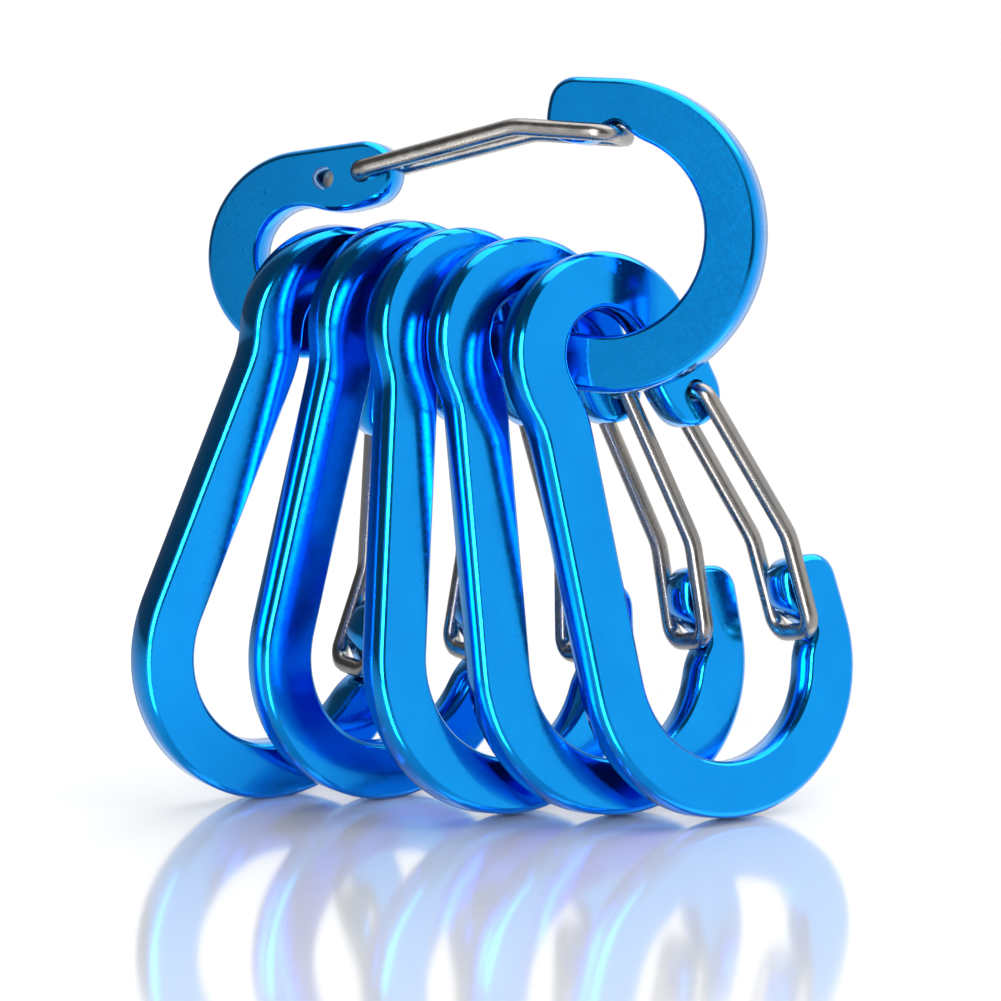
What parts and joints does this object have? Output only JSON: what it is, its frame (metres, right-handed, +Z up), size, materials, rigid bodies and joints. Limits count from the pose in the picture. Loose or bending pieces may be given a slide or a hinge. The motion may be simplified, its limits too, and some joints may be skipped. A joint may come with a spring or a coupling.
{
  "type": "carabiner keyring",
  "caption": "Flat wire-gate carabiners hung in a row by their small loops on the straight side of another carabiner, each closed by a sprung wire gate.",
  "frame": {"origin": "centre of the footprint, on the plane the hanging clips stand on", "axes": "+X along the carrier towards its wide end, +Z up, the carrier's marked front face towards -Y"},
  "size_m": [0.0678, 0.037, 0.0757],
  "materials": {
    "anodised_blue": "bright blue anodised aluminium with polished bevels",
    "spring_wire": "drawn spring-steel wire"
  },
  "bodies": {
    "carrier": {"carrier_frame": "anodised_blue"},
    "carrier_gate": {"carrier_gate": "spring_wire"},
    "clip_1": {"clip_1_frame": "anodised_blue"},
    "clip_1_gate": {"clip_1_gate": "spring_wire"},
    "clip_2": {"clip_2_frame": "anodised_blue"},
    "clip_2_gate": {"clip_2_gate": "spring_wire"},
    "clip_3": {"clip_3_frame": "anodised_blue"},
    "clip_3_gate": {"clip_3_gate": "spring_wire"},
    "clip_4": {"clip_4_frame": "anodised_blue"},
    "clip_4_gate": {"clip_4_gate": "spring_wire"},
    "clip_5": {"clip_5_frame": "anodised_blue"},
    "clip_5_gate": {"clip_5_gate": "spring_wire"}
  },
  "joints": [
    {"name": "carrier_gate_hinge", "type": "hinge", "parent": "carrier", "child": "carrier_gate", "pos_m": [-0.01593, 0.00435, 0.06508], "axis": [0, 0.9833, -0.1822], "range_deg": [0, 20], "stiffness_Nm_per_rad": 0.05, "springref_deg": -17.19},
    {"name": "clip_1_swing", "type": "hinge", "parent": "carrier", "child": "clip_1", "pos_m": [-0.01839, 0.00145, 0.04891], "axis": [0.8069, -0.5906, -0.007], "range_deg": [-12, 4]},
    {"name": "clip_1_gate_hinge", "type": "hinge", "parent": "clip_1", "child": "clip_1_gate", "pos_m": [-0.0147, 0.00659, 0.04015], "axis": [-0.8069, 0.5906, 0.007], "range_deg": [0, 15], "stiffness_Nm_per_rad": 0.05, "springref_deg": -17.19},
    {"name": "clip_2_swing", "type": "hinge", "parent": "carrier", "child": "clip_2", "pos_m": [-0.01099, 0.00189, 0.04975], "axis": [0.8245, -0.5656, 0.0157], "range_deg": [-8, 8]},
    {"name": "clip_2_gate_hinge", "type": "hinge", "parent": "clip_2", "child": "clip_2_gate", "pos_m": [-0.00659, 0.0081, 0.04207], "axis": [-0.8245, 0.5656, -0.0157], "range_deg": [0, 15], "stiffness_Nm_per_rad": 0.05, "springref_deg": -17.19},
    {"name": "clip_3_swing", "type": "hinge", "parent": "carrier", "child": "clip_3", "pos_m": [-0.00412, 0.00086, 0.04929], "axis": [0.8133, -0.5548, 0.1754], "range_deg": [-5, 4]},
    {"name": "clip_3_gate_hinge", "type": "hinge", "parent": "clip_3", "child": "clip_3_gate", "pos_m": [0.00158, 0.00709, 0.04255], "axis": [-0.8133, 0.5548, -0.1754], "range_deg": [0, 15], "stiffness_Nm_per_rad": 0.05, "springref_deg": -17.19},
    {"name": "clip_4_swing", "type": "hinge", "parent": "carrier", "child": "clip_4", "pos_m": [0.00269, 0.00132, 0.04858], "axis": [0.7676, -0.6095, 0.1985], "range_deg": [-5, 6]},
    {"name": "clip_4_gate_hinge", "type": "hinge", "parent": "clip_4", "child": "clip_4_gate", "pos_m": [0.00934, 0.00794, 0.04321], "axis": [-0.7676, 0.6095, -0.1985], "range_deg": [0, 15], "stiffness_Nm_per_rad": 0.05, "springref_deg": -17.19},
    {"name": "clip_5_swing", "type": "hinge", "parent": "carrier", "child": "clip_5", "pos_m": [0.01097, 0.00111, 0.04748], "axis": [0.7702, -0.6018, 0.2113], "range_deg": [-8, 12]},
    {"name": "clip_5_gate_hinge", "type": "hinge", "parent": "clip_5", "child": "clip_5_gate", "pos_m": [0.0178, 0.00837, 0.04329], "axis": [-0.7702, 0.6018, -0.2113], "range_deg": [0, 15], "stiffness_Nm_per_rad": 0.05, "springref_deg": -17.19}
  ]
}
